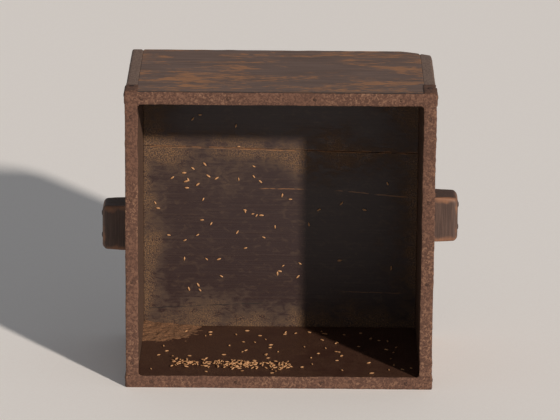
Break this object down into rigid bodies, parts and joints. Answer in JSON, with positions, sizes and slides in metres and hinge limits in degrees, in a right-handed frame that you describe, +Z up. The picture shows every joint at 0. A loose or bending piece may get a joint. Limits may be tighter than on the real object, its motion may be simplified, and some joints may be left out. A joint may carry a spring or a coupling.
{
  "type": "grain measure",
  "caption": "Old square wooden grain measure, open at the mouth, with an iron-edged rim and a wooden block handle on two opposite sides.",
  "frame": {"origin": "on the floor below the middle of the measure, which lies on its lower side board with the mouth facing -Y", "axes": "+X from the left handle to the right one, +Y from the mouth to the underside of the base, +Z up as it lies"},
  "size_m": [0.403, 0.194, 0.344],
  "materials": {
    "weathered_board": "dark, weathered and worn through to brown wood in streaks",
    "inner_board": "dark, smoothed by grain, dusty",
    "handle_block": "worn smooth at the edges, dark in the middle",
    "rusted_strap": "wrought iron, evenly rusted and pitted",
    "forged_nail": "dark rusted forged iron"
  },
  "bodies": {
    "root": {"left_wall": "weathered_board", "right_wall": "weathered_board", "upper_wall": "weathered_board", "lower_wall": "weathered_board", "base_wide": "inner_board", "base_narrow": "inner_board", "rim_upper": "rusted_strap", "rim_lower": "rusted_strap", "rim_left": "rusted_strap", "rim_right": "rusted_strap", "handle_left": "handle_block", "handle_right": "handle_block", "rim_upper_nail_1": "forged_nail", "rim_upper_nail_2": "forged_nail", "rim_upper_nail_3": "forged_nail", "rim_upper_nail_4": "forged_nail", "rim_lower_nail_1": "forged_nail", "rim_lower_nail_2": "forged_nail", "rim_lower_nail_3": "forged_nail", "rim_lower_nail_4": "forged_nail", "rim_left_nail_1": "forged_nail", "rim_left_nail_2": "forged_nail", "rim_left_nail_3": "forged_nail", "rim_left_nail_4": "forged_nail", "rim_right_nail_1": "forged_nail", "rim_right_nail_2": "forged_nail", "rim_right_nail_3": "forged_nail", "rim_right_nail_4": "forged_nail", "tab_nail_over_left": "forged_nail", "tab_nail_under_left": "forged_nail", "tab_nail_left_upper": "forged_nail", "tab_nail_left_lower": "forged_nail", "left_wall_nail_upper_1": "forged_nail", "left_wall_nail_upper_2": "forged_nail", "left_wall_nail_upper_3": "forged_nail", "left_wall_nail_lower_1": "forged_nail", "left_wall_nail_lower_2": "forged_nail", "left_wall_nail_lower_3": "forged_nail", "left_base_nail_1": "forged_nail", "left_base_nail_2": "forged_nail", "left_base_nail_3": "forged_nail", "left_handle_nail_1": "forged_nail", "left_handle_nail_2": "forged_nail", "tab_nail_over_right": "forged_nail", "tab_nail_under_right": "forged_nail", "tab_nail_right_upper": "forged_nail", "tab_nail_right_lower": "forged_nail", "right_wall_nail_upper_1": "forged_nail", "right_wall_nail_upper_2": "forged_nail", "right_wall_nail_upper_3": "forged_nail", "right_wall_nail_lower_1": "forged_nail", "right_wall_nail_lower_2": "forged_nail", "right_wall_nail_lower_3": "forged_nail", "right_base_nail_1": "forged_nail", "right_base_nail_2": "forged_nail", "right_base_nail_3": "forged_nail", "right_handle_nail_1": "forged_nail", "right_handle_nail_2": "forged_nail"}
  },
  "joints": []
}
